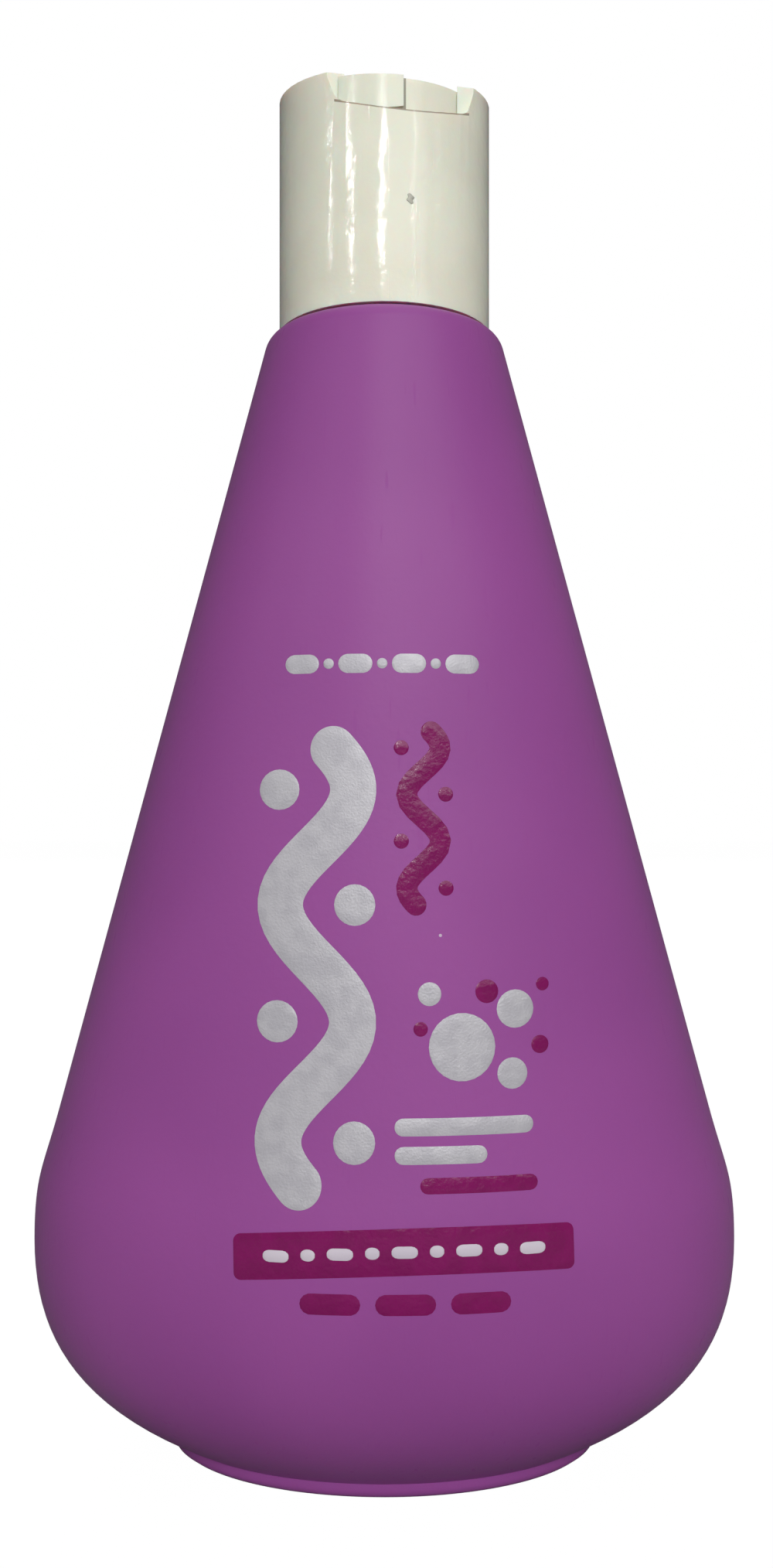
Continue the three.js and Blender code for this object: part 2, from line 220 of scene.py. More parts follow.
@dataclass(frozen=True)
class MouldedSkin:
    """The surface of moulded plastic: a fine orange peel, soft sinks and a faint mottle."""

    peel_scale: float = 900.0
    peel_detail: float = 3.0
    sink_scale: float = 90.0
    sink_detail: float = 1.0
    strength: float = 0.5

    def group(self) -> bpy.types.NodeTree:
        """Builds the surface as a node group.

        Returns:
            The group, which puts out Height and Mottle.
        """
        inputs = {"Peel Scale": self.peel_scale, "Peel": self.strength,
                  "Sink Scale": self.sink_scale, "Sink": self.strength}
        nodes, given, wanted = new_group("moulded_skin", inputs, ("Height", "Mottle"))
        place = nodes.place()
        peel = nodes.noise(place, given["Peel Scale"], self.peel_detail)
        sink = nodes.noise(place, given["Sink Scale"], self.sink_detail)
        fine = nodes.math("MULTIPLY", peel, given["Peel"])
        broad = nodes.math("MULTIPLY", sink, given["Sink"])
        nodes.link(nodes.math("ADD", fine, broad), wanted["Height"])
        nodes.link(sink, wanted["Mottle"])
        return nodes.tree


@dataclass(frozen=True)
class Handling:
    """The marks of handling: hairline scratches and specks."""

    scratch_scale: float = 60.0
    scratch_turns: Triple = (0.35, -0.9, 1.4)
    scratch_stretch: Triple = (1.0, 1.0, 0.035)
    scratch_fineness: float = 22.0
    scratch_limits: Pair = (0.795, 0.83)
    speck_scale: float = 150.0
    speck_size: float = 0.035
    speck_rarity: float = 0.93

    def group(self) -> bpy.types.NodeTree:
        """Builds the marks as a node group.

        Returns:
            The group, which puts out Scratches and Specks from 0 to 1.
        """
        inputs = {"Scratch Scale": self.scratch_scale, "Speck Scale": self.speck_scale,
                  "Speck Size": self.speck_size}
        nodes, given, wanted = new_group("handling_marks", inputs, ("Scratches", "Specks"))
        nodes.link(self._scratches(nodes, given), wanted["Scratches"])
        nodes.link(self._specks(nodes, given), wanted["Specks"])
        return nodes.tree

    def _scratches(self, nodes: Nodes, given: dict) -> bpy.types.NodeSocket:
        """Lays thin lines in three directions.

        Args:
            nodes: the group's nodes.
            given: its inputs.

        Returns:
            1 on a scratch.
        """
        scale = nodes.math("MULTIPLY", given["Scratch Scale"], self.scratch_fineness)
        lines = []
        for turn in self.scratch_turns:
            place = nodes.place(self.scratch_stretch, (0.0, turn, 0.0))
            lines.append(nodes.ramp(nodes.noise(place, scale, 0.0), self.scratch_limits))
        first, second, third = lines
        return nodes.math("MAXIMUM", nodes.math("MAXIMUM", first, second), third)

    def _specks(self, nodes: Nodes, given: dict) -> bpy.types.NodeSocket:
        """Puts a small round speck into a few of many cells.

        Args:
            nodes: the group's nodes.
            given: its inputs.

        Returns:
            1 on a speck.
        """
        cells = nodes.add("ShaderNodeTexVoronoi")
        nodes.link(nodes.place(), cells.inputs["Vector"])
        nodes.link(given["Speck Scale"], cells.inputs["Scale"])
        near = nodes.math("LESS_THAN", cells.outputs["Distance"], given["Speck Size"])
        split = nodes.add("ShaderNodeSeparateColor")
        nodes.link(cells.outputs["Color"], split.inputs["Color"])
        chosen = nodes.math("GREATER_THAN", split.outputs[0], self.speck_rarity)
        return nodes.math("MULTIPLY", near, chosen)


@dataclass(frozen=True)
class GapShade:
    """Where the collar's window and the flap's side lie, and the shade painted in their gaps, in
    metres and radians.
    """

    turn: float = math.radians(12)
    sill_height: float = 0.1624
    sill_radius: float = 0.021
    sill_fade: Pair = (0.6, 1.2)
    flat: float = 0.00975
    half_width: float = 0.0083
    flap_side: float = math.radians(10.4)
    flap_shift: float = 0.0003
    flap_fade: Pair = (0.8, 1.4)
    head_radius: float = 0.0117
    head_reach: float = 0.0004
    line_width: float = 0.00016

    def group(self) -> bpy.types.NodeTree:
        """Builds the thin lines of painted shade in the gaps along the window's sill and beside the
        flap.

        Returns:
            The node group, which puts out Gap from 0 to 1.
        """
        nodes, given, wanted = new_group("painted_gap_shade", {"Line Width": self.line_width}, ("Gap",))
        sill = self._sill_shade(nodes, given["Line Width"])
        side = self._flap_shade(nodes, given["Line Width"])
        nodes.link(nodes.math("MAXIMUM", sill, side), wanted["Gap"])
        return nodes.tree

    def _turned(self, nodes: Nodes, turn: float) -> tuple[bpy.types.NodeSocket, ...]:
        """Gives the place across, in and up from a direction about the axis.

        Args:
            nodes: the group's nodes.
            turn: the direction.

        Returns:
            The three coordinates.
        """
        split = nodes.add("ShaderNodeSeparateXYZ")
        nodes.link(nodes.place(turn=(0.0, 0.0, -turn)), split.inputs[0])
        return tuple(split.outputs)

    def _line(self, nodes: Nodes, offset: bpy.types.NodeSocket, width: bpy.types.NodeSocket,
              fade: Pair) -> bpy.types.NodeSocket:
        """Masks a soft line.

        Args:
            nodes: the group's nodes.
            offset: the distance from the line's middle, with its sign.
            width: the line's width.
            fade: where it starts and stops fading, in widths.

        Returns:
            1 on the line.
        """
        depth = nodes.math("DIVIDE", nodes.math("ABSOLUTE", offset), width)
        return nodes.math("SUBTRACT", 1.0, nodes.ramp(depth, fade))

    def _sill_shade(self, nodes: Nodes, width: bpy.types.NodeSocket) -> bpy.types.NodeSocket:
        """Masks the painted shade on the edge of the wall just under the sill.

        Args:
            nodes: the group's nodes.
            width: the line's width.

        Returns:
            1 on the sill's line.
        """
        x, y, z = self._turned(nodes, self.turn)
        bend = nodes.math("DIVIDE", nodes.math("MULTIPLY", x, x), 2 * self.sill_radius)
        above = nodes.math("SUBTRACT", nodes.math("SUBTRACT", z, bend), self.sill_height)
        line = self._line(nodes, above, width, self.sill_fade)
        across = nodes.math("LESS_THAN", nodes.math("ABSOLUTE", x), self.half_width)
        front = nodes.math("LESS_THAN", y, -self.flat)
        return nodes.math("MULTIPLY", line, nodes.math("MULTIPLY", across, front))

    def _flap_shade(self, nodes: Nodes, width: bpy.types.NodeSocket) -> bpy.types.NodeSocket:
        """Masks the painted shade on the head's wall just beside the flap.

        Args:
            nodes: the group's nodes.
            width: the line's width.

        Returns:
            1 on the painted shade line beside the flap.
        """
        x, y, z = self._turned(nodes, self.flap_side)
        line = self._line(nodes, nodes.math("SUBTRACT", x, self.flap_shift), width, self.flap_fade)
        high = nodes.math("GREATER_THAN", z, self.sill_height)
        inwards = nodes.math("ABSOLUTE", nodes.math("ADD", y, self.head_radius))
        deep = nodes.math("LESS_THAN", inwards, self.head_reach)
        return nodes.math("MULTIPLY", line, nodes.math("MULTIPLY", high, deep))


@dataclass(frozen=True)
class Finish:
    """A procedural plastic, metal or ink."""

    name: str
    colour: Colour
    shade: Colour
    roughness: float
    metallic: float = 0.0
    coat: float = 0.0
    coat_roughness: float = 0.06
    sheen_through: float = 0.0
    sheen_depth: float = 0.002
    peel: float = 0.4
    peel_scale: float = 900.0
    sink: float = 0.4
    sink_scale: float = 90.0
    mottle_limits: Pair = (0.35, 0.65)
    uneven_gloss: float = 0.08
    bump: float = 0.1
    bump_depth: float = 0.0002
    scratch: float = 0.0
    scratch_depth: float = 0.6
    speck: float = 0.0
    speck_colour: Colour = (0.8, 0.78, 0.8)
    # Painted shade: how strongly the lines in the window's gaps are darkened, and the colour they
    # darken to.
    gap: float = 0.0
    gap_shade_colour: Colour = (0.2, 0.19, 0.14)

    def build(self, skin: bpy.types.NodeTree, marks: bpy.types.NodeTree,
              gap_shade_group: bpy.types.NodeTree) -> bpy.types.Material:
        """Makes the material.

        Args:
            skin: the moulded skin group.
            marks: the handling marks group.
            gap_shade_group: the group of painted shade lines in the gaps.

        Returns:
            The finished material.
        """
        material = bpy.data.materials.new(self.name)
        material.use_nodes = True
        nodes = Nodes(material.node_tree)
        shader = material.node_tree.nodes["Principled BSDF"]
        surface = nodes.add("ShaderNodeGroup", node_tree=skin)
        surface.inputs["Peel Scale"].default_value = self.peel_scale
        surface.inputs["Peel"].default_value = self.peel
        surface.inputs["Sink Scale"].default_value = self.sink_scale
        surface.inputs["Sink"].default_value = self.sink
        mottle = surface.outputs["Mottle"]
        worn = nodes.add("ShaderNodeGroup", node_tree=marks)
        scratches = nodes.math("MULTIPLY", worn.outputs["Scratches"], self.scratch)
        specks = nodes.math("MULTIPLY", worn.outputs["Specks"], self.speck)
        nodes.link(self._tint(nodes, mottle, specks, gap_shade_group), shader.inputs["Base Color"])
        gloss = nodes.math("MULTIPLY", mottle, self.uneven_gloss)
        even = nodes.math("ADD", gloss, self.roughness - self.uneven_gloss / 2)
        nodes.link(nodes.math("ADD", even, scratches), shader.inputs["Roughness"])
        cut = nodes.math("MULTIPLY", scratches, self.scratch_depth)
        height = nodes.math("SUBTRACT", surface.outputs["Height"], cut)
        nodes.link(self._relief(nodes, nodes.math("ADD", height, specks)), shader.inputs["Normal"])
        shader.inputs["Metallic"].default_value = self.metallic
        shader.inputs["Coat Weight"].default_value = self.coat
        shader.inputs["Coat Roughness"].default_value = self.coat_roughness
        shader.inputs["Subsurface Weight"].default_value = self.sheen_through
        shader.inputs["Subsurface Scale"].default_value = self.sheen_depth
        return material

    def _tint(self, nodes: Nodes, mottle: bpy.types.NodeSocket, specks: bpy.types.NodeSocket,
              gap_shade_group: bpy.types.NodeTree) -> bpy.types.NodeSocket:
        """Mixes the two shades, lightens the specks and paints shade into the gaps.

        Args:
            nodes: the material's nodes.
            mottle: where the second shade lies.
            specks: where the specks lie.
            gap_shade_group: the group of painted shade lines in the gaps.

        Returns:
            The colour.
        """
        shades = nodes.ramp(mottle, self.mottle_limits)
        plain = nodes.blend_colours(shades, self.colour, self.shade)
        tint = nodes.blend_colours(specks, plain, self.speck_colour)
        if not self.gap:
            return tint
        # Paints shade into the gaps at the window's sill and beside the flap.
        lines = nodes.add("ShaderNodeGroup", node_tree=gap_shade_group)
        painted_shade = nodes.math("MULTIPLY", lines.outputs["Gap"], self.gap)
        return nodes.blend_colours(painted_shade, tint, self.gap_shade_colour)

    def _relief(self, nodes: Nodes, height: bpy.types.NodeSocket) -> bpy.types.NodeSocket:
        """Turns the height into a normal.

        Args:
            nodes: the material's nodes.
            height: the surface's height.

        Returns:
            The normal.
        """
        bump = nodes.add("ShaderNodeBump")
        bump.inputs["Strength"].default_value = self.bump
        bump.inputs["Distance"].default_value = self.bump_depth
        nodes.link(height, bump.inputs["Height"])
        return bump.outputs["Normal"]


FINISHES = (
    Finish("bottle_purple", (0.31, 0.072, 0.305), (0.29, 0.066, 0.288), 0.43, sheen_through=0.05,
           peel=0.5, peel_scale=1100.0, sink=1.0, sink_scale=38.0, bump=0.12, bump_depth=0.0004,
           scratch=0.12, speck=0.5),
    # The head's white carries the shade painted into the window's gaps.
    Finish("head_white", (0.84, 0.83, 0.70), (0.815, 0.80, 0.67), 0.11, sheen_through=0.4,
           peel=0.22, peel_scale=800.0, sink=1.0, sink_scale=150.0, bump=0.3, bump_depth=0.0006,
           scratch=0.05, gap=0.8),
    Finish("flap_white", (0.83, 0.815, 0.68), (0.80, 0.785, 0.65), 0.2, sheen_through=0.3,
           peel=0.3, sink=0.8, sink_scale=160.0, bump=0.2, bump_depth=0.0004),
    Finish("gate_scar", (0.52, 0.51, 0.43), (0.42, 0.41, 0.35), 0.22, sink_scale=900.0, sink=1.0,
           bump=0.6, bump_depth=0.0002),
    Finish("pump_natural", (0.72, 0.74, 0.75), (0.68, 0.70, 0.71), 0.35, sheen_through=0.3),
    Finish("seal_grey", (0.62, 0.62, 0.60), (0.58, 0.58, 0.56), 0.6),
    Finish("paste", (0.86, 0.90, 0.88), (0.82, 0.87, 0.85), 0.45, sheen_through=0.2, sink_scale=60.0),
    Finish("steel", (0.56, 0.57, 0.58), (0.50, 0.51, 0.52), 0.24, metallic=1.0),
    Finish(Ink.SILVER.value, (0.60, 0.585, 0.62), (0.54, 0.525, 0.565), 0.42, metallic=0.35,
           peel=1.0, peel_scale=3800.0, sink=0.3, sink_scale=500.0, bump=0.6, bump_depth=0.00008),
    Finish(Ink.MAGENTA.value, (0.205, 0.002, 0.098), (0.185, 0.002, 0.088), 0.2, coat=0.3,
           peel=1.0, peel_scale=1500.0, sink=1.0, sink_scale=420.0, bump=0.6, bump_depth=0.00016),
    Finish(Ink.PALE.value, (0.62, 0.56, 0.63), (0.58, 0.52, 0.60), 0.4, peel=0.8, peel_scale=3000.0),
)


class Finishes:
    """All finishes of the object, by name."""

    def __init__(self) -> None:
        """Builds the shared groups and then each material."""
        skin = MouldedSkin().group()
        marks = Handling().group()
        # The shade painted into the window's gaps.
        gap_shade_group = GapShade().group()
        self.materials = {finish.name: finish.build(skin, marks, gap_shade_group) for finish in FINISHES}

    def dress(self, piece: bpy.types.Object, name: str) -> None:
        """Gives a piece one finish, in place of any that it has."""
        piece.data.materials.clear()
        piece.data.materials.append(self.materials[name])

    def dress_node(self, piece: bpy.types.Object, name: str) -> None:
        """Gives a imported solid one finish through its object's own material slots.

        Args:
            piece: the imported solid.
            name: the finish.
        """
        for slot in piece.material_slots:
            slot.link = "OBJECT"
            slot.material = self.materials[name]


# Meshes


def closed_profile(bm: bmesh.types.BMesh, points: list[Vector]) -> None:
    """Draws a profile in the XZ plane as vertices joined by edges.

    Args:
        bm: the mesh to draw in.
        points: the profile's points in order.
    """
    corners = [bm.verts.new((point.x, 0.0, point.y)) for point in points]
    for start, end in zip(corners, corners[1:]):
        bm.edges.new((start, end))


def full_turn(bm: bmesh.types.BMesh, steps: int) -> None:
    """Turns everything in the mesh once about Z and closes it.

    Args:
        bm: the mesh.
        steps: how many facets go round.
    """
    geometry = bm.verts[:] + bm.edges[:]
    bmesh.ops.spin(bm, geom=geometry, cent=(0, 0, 0), axis=(0, 0, 1), angle=2 * math.pi,
                   steps=steps, use_merge=True)
    bmesh.ops.remove_doubles(bm, verts=bm.verts, dist=SAME_POINT_MM)
    bmesh.ops.recalc_face_normals(bm, faces=bm.faces)


def soften_edges(bm: bmesh.types.BMesh, width: float, segments: int) -> None:
    """Rounds every edge that folds sharply.

    Args:
        bm: the mesh.
        width: how far the round reaches from the edge.
        segments: how many facets the round has.
    """
    sharp = [edge for edge in bm.edges
             if edge.is_manifold and edge.calc_face_angle(0.0) > SHARP_FOLD]
    bmesh.ops.bevel(bm, geom=sharp, offset=width, affect="EDGES", segments=segments, profile=0.5,
                    material=-1, clamp_overlap=True)


def to_piece(bm: bmesh.types.BMesh, name: str, body: str,
             scale: float = MM) -> bpy.types.Object:
    """Turns a finished mesh into a smooth piece that rides on a body.

    Args:
        bm: the mesh, which is freed.
        name: the piece's name.
        body: the body it rides on.
        scale: the mesh's units in metres.

    Returns:
        The new object.
    """
    bmesh.ops.scale(bm, vec=(scale, scale, scale), verts=bm.verts)
    for face in bm.faces:
        face.smooth = True
    for edge in bm.edges:
        edge.smooth = not edge.is_manifold or edge.calc_face_angle(0.0) < SHARP_FOLD
    mesh = bpy.data.meshes.new(name)
    bm.to_mesh(mesh)
    bm.free()
    piece = bpy.data.objects.new(name, mesh)
    bpy.context.scene.collection.objects.link(piece)
    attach(piece, body)
    return piece


# Bottle


@dataclass(frozen=True)
class Bottle:
    """The oval blow-moulded bottle, in millimetres."""

    width: float = 88.0
    depth: float = 55.0
    wall: float = 1.1
    belly_height: float = 26.4
    foot_width: float = 53.2
    foot_height: float = 1.9
    foot_ring: float = 3.4
    foot_edge: float = 1.2
    foot_lean: float = 0.1
    foot_round: float = 0.3
    # How far in from the heel and how high each step of its outer round lies.
    heel_steps: tuple[Pair, ...] = ((0.85, 0.15), (0.2, 0.6), (0.0, 1.1), (0.0, 1.65))
    # How far the inner skin's heel moves in and up, for each millimetre of wall.
    heel_shift: Pair = (0.5, 1.3)
    push_up: float = 2.2
    push_slope: float = 1.6
    push_bend: float = 0.9
    push_bend_share: float = 0.8
    underside_rise: float = math.radians(24.6)
    underside_reach: float = 13.6
    belly_reach: float = 11.7
    flank_inset: float = 3.1
    flank_rise: float = 16.2
    flank_reach: float = 7.9
    shoulder_height: float = 139.5
    shoulder_round: float = 2.7
    shoulder_centre: float = 12.5
    neck_radius: float = 11.1
    neck_bore: float = 9.7
    neck_round: float = 0.3
    rim_height: float = 149.0
    rounding_ease: float = 0.25
    sides: int = 160
    curve_steps: int = 22
    flank_steps: int = 26
    shoulder_steps: int = 8

    def shoulder_middle(self) -> Vector:
        """Gives the half width and height of the middle of the shoulder's round."""
        return Vector((self.shoulder_centre, self.shoulder_height - self.shoulder_round))

    def flank_start(self, inset: float) -> Vector:
        """Gives the half width and height at which the straight flank starts."""
        half = self.width / 2 - inset - self.flank_inset
        return Vector((half, self.belly_height + self.flank_rise))

    def flank_end(self, inset: float) -> Vector:
        """Finds where the straight flank touches the shoulder's round.

        Args:
            inset: how far inside the outer skin.

        Returns:
            The half width and the height of that point.
        """
        centre = self.shoulder_middle()
        reach = self.flank_start(inset) - centre
        radius = self.shoulder_round - inset
        angle = math.atan2(reach.y, reach.x) + math.acos(radius / reach.length)
        return centre + radius * Vector((math.cos(angle), math.sin(angle)))

    def shoulder(self, inset: float, end: Vector) -> list[Vector]:
        """Draws the shoulder's round.

        Args:
            inset: how far inside the outer skin.
            end: where the flank touches the round.

        Returns:
            The half width and height of each point.
        """
        centre = self.shoulder_middle()
        first = math.atan2(end.y - centre.y, end.x - centre.x)
        radius = self.shoulder_round - inset
        steps = self.shoulder_steps
        turns = [first + (math.pi / 2 - first) * i / steps for i in range(1, steps + 1)]
        return [centre + radius * Vector((math.cos(turn), math.sin(turn))) for turn in turns]

    def outline(self, inset: float) -> list[Vector]:
        """Draws the half outline from the foot to the neck.

        Args:
            inset: how far inside the outer skin.

        Returns:
            The half width and height of each point.
        """
        shift_in, shift_up = self.heel_shift
        heel = Vector((self.foot_width / 2 - inset * shift_in, self.foot_height + inset * shift_up))
        belly = Vector((self.width / 2 - inset, self.belly_height))
        start, end = self.flank_start(inset), self.flank_end(inset)
        rise = Vector((math.cos(self.underside_rise), math.sin(self.underside_rise)))
        pull = (end - start).normalized() * self.flank_reach
        below = Vector((belly.x, belly.y - self.belly_reach))
        above = Vector((belly.x, belly.y + self.flank_reach))
        steps = self.curve_steps
        lower = interpolate_bezier(heel, heel + rise * self.underside_reach, below, belly, steps)
        upper = interpolate_bezier(belly, above, start - pull, start, steps)
        flank = [start.lerp(end, i / self.flank_steps) for i in range(1, self.flank_steps + 1)]
        points = [*lower, *upper[1:], *flank, *self.shoulder(inset, end)]
        return [Vector(point[:2]) for point in points]

    def depth_ratio(self, height: float) -> float:
        """Gives the depth for each millimetre of width.

        Args:
            height: the height above the foot.

        Returns:
            The depth's share of the width there.
        """
        belly, top = self.width / 2, self.shoulder_centre + self.shoulder_round
        share = (height - self.belly_height) / (self.shoulder_height - self.belly_height)
        share = min(max(share, 0.0), 1.0)
        ease = self.rounding_ease
        eased = share ** 2 / (2 * ease) if share < ease else share - ease / 2
        blend = eased / (1 - ease / 2)
        wide = belly + (top - belly) * blend
        deep = self.depth / 2 + (top - self.depth / 2) * blend
        return deep / wide

    def half_width(self, height: float) -> float:
        """Gives the half width of the outer skin.

        Args:
            height: a height on the belly or the flank.

        Returns:
            The half width there.
        """
        points = self.outline(0.0)
        for low, high in zip(points, points[1:]):
            if low.y <= height <= high.y and low.y < high.y:
                return low.x + (high.x - low.x) * (height - low.y) / (high.y - low.y)
        return points[-1].x

    def front(self, x: float, height: float) -> float:
        """Gives the Y of the front skin.

        Args:
            x: the place across.
            height: the height above the foot.

        Returns:
            The skin's Y there.
        """
        half = self.half_width(height)
        across = min(abs(x) / half, 1.0)
        return -half * self.depth_ratio(height) * math.sqrt(1 - across ** 2)

    def foot(self) -> list[Vector]:
        """Draws the foot's half section from its pushed-up middle out to the heel.

        Returns:
            The half width and height of each point.
        """
        heel = self.foot_width / 2
        ring = heel - self.foot_edge
        inner = ring - self.foot_ring
        return [Vector((0, self.push_up)), Vector((inner - self.push_slope, self.push_up)),
                Vector((inner - self.push_bend, self.push_up * self.push_bend_share)),
                Vector((inner - self.foot_lean, self.foot_round)),
                Vector((inner - self.foot_lean + self.foot_round, 0)),
                Vector((ring - self.foot_round, 0)),
                *(Vector((heel - inset, height)) for inset, height in self.heel_steps)]

    def neck(self) -> list[Vector]:
        """Draws the neck's half section from the shoulder up over the rim and down the bore.

        Returns:
            The half width and height of each point.
        """
        edge = self.neck_round
        return [Vector((self.neck_radius + edge, self.shoulder_height)),
                Vector((self.neck_radius, self.shoulder_height + edge)),
                Vector((self.neck_radius, self.rim_height - edge)),
                Vector((self.neck_radius - edge, self.rim_height)),
                Vector((self.neck_bore, self.rim_height)),
                Vector((self.neck_bore, self.shoulder_height - self.wall))]

    def build(self, finishes: Finishes) -> bpy.types.Object:
        """Turns and presses the bottle's walls, and dresses them.

        Args:
            finishes: the object's finishes.

        Returns:
            The bottle.
        """
        inner_skin = reversed(self.outline(self.wall))
        middle = Vector((0, self.push_up + self.wall))
        bm = bmesh.new()
        closed_profile(bm, [*self.foot(), *self.outline(0.0), *self.neck(), *inner_skin, middle])
        full_turn(bm, self.sides)
        for vertex in bm.verts:
            vertex.co.y *= self.depth_ratio(vertex.co.z)
        piece = to_piece(bm, "bottle_shell", "bottle")
        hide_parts("bottle")
        finishes.dress(piece, "bottle_purple")
        log.info("%s has %d faces", piece.name, len(piece.data.polygons))
        return piece


# Print


@dataclass(frozen=True)
class Mark:
    """One printed shape: a round-ended band on a straight or waving line, in millimetres."""

    name: str
    ink: Ink
    x: float
    z: float
    length: float
    width: float
    turn: float = 0.0
    wave: float = 0.0
    waves: float = 0.0
    corner: float | None = None
    bow: float = 0.0
    step: float = 0.55
    least_along: int = 12
    least_across: int = 4

    def flat(self) -> bmesh.types.BMesh:
        """Draws the mark flat in the XZ plane.

        Returns:
            The flat mesh, with each vertex's nearness to the edge kept in its Y.
        """
        along = max(self.least_along, round(self.length / self.step))
        across = max(self.least_across, round(self.width / self.step))
        bm = bmesh.new()
        bmesh.ops.create_grid(bm, x_segments=along, y_segments=across, size=0.5)
        radius = min(self.width, self.length) / 2 if self.corner is None else self.corner
        for vertex in bm.verts:
            self._place(vertex, radius)
        bmesh.ops.remove_doubles(bm, verts=bm.verts, dist=SAME_POINT_MM)
        return bm

    def _place(self, vertex: bmesh.types.BMVert, radius: float) -> None:
        """Moves one vertex of the unit grid to its place on the band.

        Args:
            vertex: the vertex.
            radius: how round the band's ends are.
        """
        share = math.sin(math.pi * vertex.co.x) / 2
        side = 2 * vertex.co.y
        s = share * self.length
        climb = self.wave * 2 * math.pi * self.waves / self.length
        stretch = math.hypot(1.0, climb * math.cos(math.pi * self.waves))
        short = max(0.0, (abs(s) - self.length / 2) * stretch + radius)
        trim = radius - math.sqrt(max(0.0, radius ** 2 - short ** 2))
        half = self.width / 2 - trim
        phase = 2 * math.pi * self.waves * share
        lift = self.wave * math.sin(phase) - self.bow * (1 - (2 * share) ** 2)
        slope = math.atan(climb * math.cos(phase))
        s -= math.sin(slope) * half * side
        lift += math.cos(slope) * half * side
        cos, sin = math.cos(self.turn), math.sin(self.turn)
        edge = min(1.0, max(abs(side), short / radius))
        vertex.co = (self.x + s * cos - lift * sin, edge, self.z + s * sin + lift * cos)


def disc(name: str, ink: Ink, x: float, z: float, size: float) -> Mark:
    """Gives a round mark."""
    return Mark(name, ink, x, z, size, size)


@dataclass(frozen=True)
class Header:
    """The row of dashes and dots above the ribbons, in millimetres."""

    left: float = -9.4
    height: float = 96.4
    step: float = 6.1
    dashes: int = 4
    dash_length: float = 3.9
    dash_width: float = 2.2
    dot: float = 1.2

    def marks(self) -> list[Mark]:
        """Lists the dashes and then the dots between them.

        Returns:
            The marks.
        """
        places = [self.left + self.step * i for i in range(self.dashes)]
        marks = [Mark(f"header_dash_{i}", Ink.SILVER, x, self.height, self.dash_length,
                      self.dash_width) for i, x in enumerate(places)]
        for i, left in enumerate(places[:-1]):
            x = left + self.step / 2
            marks.append(disc(f"header_dot_{i}", Ink.SILVER, x, self.height, self.dot))
        return marks


@dataclass(frozen=True)
class Ribbon:
    """An upright waving band with a disc in each of its bends, in millimetres."""

    ink: Ink
    x: float
    foot: float
    height: float
    width: float
    wave: float
    disc_reach: float
    disc_size: float
    waves: int = 2

    def marks(self) -> list[Mark]:
        """Lists the ribbon and then its discs from the foot up.

        Returns:
            The marks.
        """
        name = self.ink.name.lower()
        middle = self.foot + self.height / 2
        marks = [Mark(f"{name}_ribbon", self.ink, self.x, middle, self.height, self.width,
                      turn=math.pi / 2, wave=self.wave, waves=self.waves)]
        for i in range(2 * self.waves):
            z = self.foot + self.height * (2 * i + 1) / (4 * self.waves)
            x = self.x + (self.disc_reach if i % 2 == 0 else -self.disc_reach)
            marks.append(disc(f"{name}_disc_{i}", self.ink, x, z, self.disc_size))
        return marks


@dataclass(frozen=True)
class Band:
    """The magenta band with its row of pale dashes and dots, in millimetres."""

    x: float = 2.2
    height: float = 31.4
    length: float = 37.4
    width: float = 5.0
    tilt: float = math.radians(1.3)
    rise: float = 0.65
    corner: float = 0.8
    dots: int = 9
    dot_step: float = 3.5
    dash: float = 3.0
    dot: float = 1.7

    def marks(self) -> list[Mark]:
        """Lists the band and then its dashes and dots from left to right.

        Returns:
            The marks.
        """
        marks = [Mark("magenta_band", Ink.MAGENTA, self.x, self.height, self.length, self.width,
                      turn=self.tilt, corner=self.corner, bow=-self.rise)]
        for i in range(self.dots):
            across = self.dot_step * (i - (self.dots - 1) / 2)
            bend = self.rise * (1 - (2 * across / self.length) ** 2)
            z = self.height + across * math.tan(self.tilt) + bend
            length = self.dash if i % 2 == 0 else self.dot
            marks.append(Mark(f"band_dot_{i}", Ink.PALE, self.x + across, z, length, self.dot))
        return marks


RIBBONS = (
    Ribbon(Ink.SILVER, x=-7.6, foot=37.0, height=51.5, width=5.2, wave=4.1,
           disc_reach=4.3, disc_size=4.6),
    Ribbon(Ink.MAGENTA, x=4.4, foot=68.4, height=21.0, width=2.4, wave=1.9,
           disc_reach=2.5, disc_size=1.7),
)

# The cluster of discs on the right: the place across and up, and the size of each.
BUBBLES = {
    Ink.SILVER: ((8.6, 53.6, 7.4), (14.6, 57.6, 4.2), (14.2, 50.6, 3.4), (5.0, 59.4, 2.6)),
    Ink.MAGENTA: ((11.4, 59.6, 2.6), (17.4, 53.6, 2.0), (4.0, 55.6, 1.6), (17.8, 60.2, 1.5)),
}

# The plain bars under the cluster, and the three under the band.
BARS = (
    Mark("silver_bar_long", Ink.SILVER, x=8.8, z=45.1, length=15.4, width=1.9),
    Mark("silver_bar_short", Ink.SILVER, x=6.2, z=42.1, length=10.2, width=1.9),
    Mark("magenta_bar_fine", Ink.MAGENTA, x=10.4, z=38.9, length=13.0, width=1.7),
    *(Mark(f"magenta_bar_{i}", Ink.MAGENTA, x=-5.9 + 8.2 * i, z=26.4, length=6.6, width=2.3)
      for i in range(3)),
)


